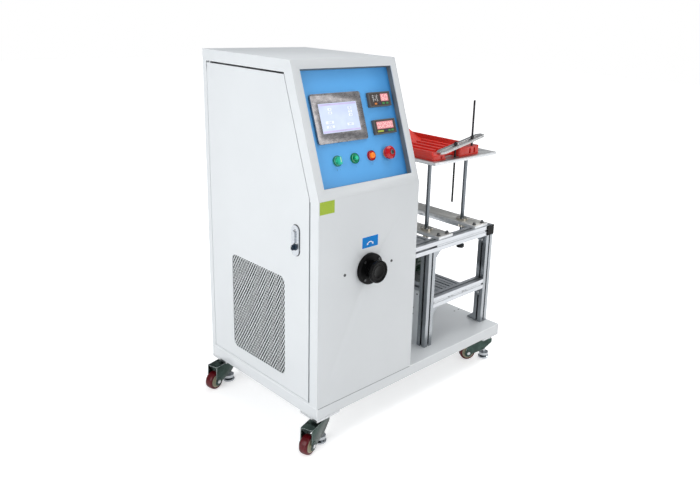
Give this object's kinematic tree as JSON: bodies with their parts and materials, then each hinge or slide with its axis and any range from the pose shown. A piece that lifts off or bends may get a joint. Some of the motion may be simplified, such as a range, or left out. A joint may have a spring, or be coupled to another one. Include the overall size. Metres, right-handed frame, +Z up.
{
  "type": "cord flexing tester",
  "caption": "Free-standing cord bending tester: white cabinet with sloping control panel and side door, beside a slotted-profile frame with a lifting table, on levelling casters.",
  "frame": {"origin": "centre of the whole outline, on the floor", "axes": "+Z up, +X to the right along the front, +Y to the rear"},
  "size_m": [1.0444, 0.6984, 1.245],
  "materials": {
    "white_coat": "satin powder coat",
    "blue_coat": "satin powder coat",
    "black_plastic": "matte",
    "grey_plastic": "matte",
    "screen_bezel": "satin",
    "screen_glass": "lit",
    "red_plastic": "gloss",
    "green_plastic": "gloss",
    "orange_plastic": "gloss",
    "aluminium": "anodised",
    "plate": "brushed",
    "steel": "brushed",
    "black_steel": "black oxide",
    "chrome": "polished",
    "zinc": "zinc plated",
    "drive_paint": "satin",
    "wheel": "satin",
    "cap_plastic": "matte"
  },
  "bodies": {
    "machine": {"base_tray": "white_coat", "caster_pads": "zinc", "side_frame": "white_coat", "right_side": "white_coat", "front_cover": "white_coat", "slant_frame": "white_coat", "top_cover": "white_coat", "rear_cover": "white_coat", "power_inlet": "black_plastic", "control_panel": "blue_coat", "touch_screen_housing": "screen_bezel", "touch_screen_glass": "screen_glass", "counters": "black_plastic", "switch_bodies": "black_plastic", "knob_flange": "black_plastic", "swing_drive": "drive_paint", "drive_stand": "steel", "mounting_plate": "steel", "control_gear": "grey_plastic", "frame_posts": "aluminium", "upper_rails": "aluminium", "lower_rails": "aluminium", "shelf_rails": "aluminium", "corner_brackets": "plate", "rail_end_caps": "cap_plastic", "frame_side_sheet": "white_coat", "bearing_plates": "steel", "linear_bearings": "steel", "lift_drive": "drive_paint"},
    "door": {"door_sheet": "white_coat", "door_mesh": "white_coat", "latch_plate": "chrome"},
    "latch": {"latch_key": "steel"},
    "knob": {"hand_knob": "black_plastic", "knob_shaft": "steel"},
    "lift_screw": {"lift_screw": "steel"},
    "table": {"table_plate": "plate", "guide_shafts": "chrome", "shaft_stop_discs": "black_steel", "lift_tube": "steel", "cradle": "red_plastic", "clamp_stud": "steel"},
    "clamp": {"clamp_strap": "steel", "heel_screw": "black_steel"},
    "selector": {"selector_knob": "green_plastic"},
    "green_button": {"green_button": "green_plastic"},
    "orange_button": {"orange_button": "orange_plastic"},
    "stop_button": {"stop_button": "red_plastic"},
    "fork_front_left": {"caster_fork_front_left": "zinc"},
    "wheel_front_left": {"caster_wheel_front_left": "wheel"},
    "foot_front_left": {"levelling_foot_front_left": "chrome"},
    "fork_rear_left": {"caster_fork_rear_left": "zinc"},
    "wheel_rear_left": {"caster_wheel_rear_left": "wheel"},
    "foot_rear_left": {"levelling_foot_rear_left": "chrome"},
    "fork_front_right": {"caster_fork_front_right": "zinc"},
    "wheel_front_right": {"caster_wheel_front_right": "wheel"},
    "foot_front_right": {"levelling_foot_front_right": "chrome"},
    "fork_rear_right": {"caster_fork_rear_right": "zinc"},
    "wheel_rear_right": {"caster_wheel_rear_right": "wheel"},
    "foot_rear_right": {"levelling_foot_rear_right": "chrome"}
  },
  "joints": [
    {"name": "door_hinge", "type": "hinge", "parent": "machine", "child": "door", "pos_m": [-0.4478, 0.28375, 0.681], "axis": [0, 0, -1], "range_deg": [0, 110]},
    {"name": "latch_turn", "type": "hinge", "parent": "door", "child": "latch", "pos_m": [-0.4558, -0.19124, 0.677], "axis": [-1, 0, 0], "range_deg": [0, 90]},
    {"name": "knob_turn", "type": "hinge", "parent": "machine", "child": "knob", "pos_m": [-0.2428, -0.29924, 0.586], "axis": [0, -1, 0], "continuous": true},
    {"name": "table_lift", "type": "slide", "parent": "machine", "child": "table", "axis": [0, 0, 1], "range_m": [-0.1, 0.07]},
    {"name": "lift_screw_turn", "type": "hinge", "parent": "machine", "child": "lift_screw", "pos_m": [0.2812, 0.04075, 0.365], "axis": [0, 0, 1], "range_deg": [-1800, 1260]},
    {"name": "clamp_swing", "type": "hinge", "parent": "table", "child": "clamp", "pos_m": [0.2878, -0.19764, 0.91], "axis": [0, 0, 1], "range_deg": [0, 90]},
    {"name": "selector_turn", "type": "hinge", "parent": "machine", "child": "selector", "pos_m": [-0.3378, -0.24632, 0.94442], "axis": [0, -0.9455, 0.3257], "range_deg": [-45, 45]},
    {"name": "green_button_press", "type": "slide", "parent": "machine", "child": "green_button", "axis": [0, 0.9455, -0.3257], "range_m": [0, 0.004], "stiffness_N_per_m": 500, "springref_m": -0.002},
    {"name": "orange_button_press", "type": "slide", "parent": "machine", "child": "orange_button", "axis": [0, 0.9455, -0.3257], "range_m": [0, 0.004], "stiffness_N_per_m": 500, "springref_m": -0.002},
    {"name": "stop_button_press", "type": "slide", "parent": "machine", "child": "stop_button", "axis": [0, 0.9455, -0.3257], "range_m": [0, 0.004]},
    {"name": "caster_swivel_front_left", "type": "hinge", "parent": "machine", "child": "fork_front_left", "pos_m": [-0.4128, -0.26425, 0.0927], "axis": [0, 0, 1], "continuous": true},
    {"name": "wheel_spin_front_left", "type": "hinge", "parent": "fork_front_left", "child": "wheel_front_left", "pos_m": [-0.48466, -0.28899, 0.033], "axis": [0.3256, -0.9455, 0], "continuous": true},
    {"name": "foot_screw_front_left", "type": "slide", "parent": "machine", "child": "foot_front_left", "axis": [0, 0, 1], "range_m": [-0.02, 0.015]},
    {"name": "caster_swivel_rear_left", "type": "hinge", "parent": "machine", "child": "fork_rear_left", "pos_m": [-0.4128, 0.28175, 0.0927], "axis": [0, 0, 1], "continuous": true},
    {"name": "wheel_spin_rear_left", "type": "hinge", "parent": "fork_rear_left", "child": "wheel_rear_left", "pos_m": [-0.48655, 0.26337, 0.033], "axis": [0.2419, -0.9703, 0], "continuous": true},
    {"name": "foot_screw_rear_left", "type": "slide", "parent": "machine", "child": "foot_rear_left", "axis": [0, 0, 1], "range_m": [-0.02, 0.015]},
    {"name": "caster_swivel_front_right", "type": "hinge", "parent": "machine", "child": "fork_front_right", "pos_m": [0.4792, -0.26425, 0.0927], "axis": [0, 0, 1], "continuous": true},
    {"name": "wheel_spin_front_right", "type": "hinge", "parent": "fork_front_right", "child": "wheel_front_right", "pos_m": [0.41405, -0.2251, 0.033], "axis": [-0.515, -0.8572, 0], "continuous": true},
    {"name": "foot_screw_front_right", "type": "slide", "parent": "machine", "child": "foot_front_right", "axis": [0, 0, 1], "range_m": [-0.02, 0.015]},
    {"name": "caster_swivel_rear_right", "type": "hinge", "parent": "machine", "child": "fork_rear_right", "pos_m": [0.4792, 0.28175, 0.0927], "axis": [0, 0, 1], "continuous": true},
    {"name": "wheel_spin_rear_right", "type": "hinge", "parent": "fork_rear_right", "child": "wheel_rear_right", "pos_m": [0.41338, 0.31976, 0.033], "axis": [-0.5, -0.866, 0], "continuous": true},
    {"name": "foot_screw_rear_right", "type": "slide", "parent": "machine", "child": "foot_rear_right", "axis": [0, 0, 1], "range_m": [-0.02, 0.015]}
  ],
  "couplings": [
    {"joint": "lift_screw_turn", "follows": "table_lift", "rad_per_m": 314.16}
  ]
}
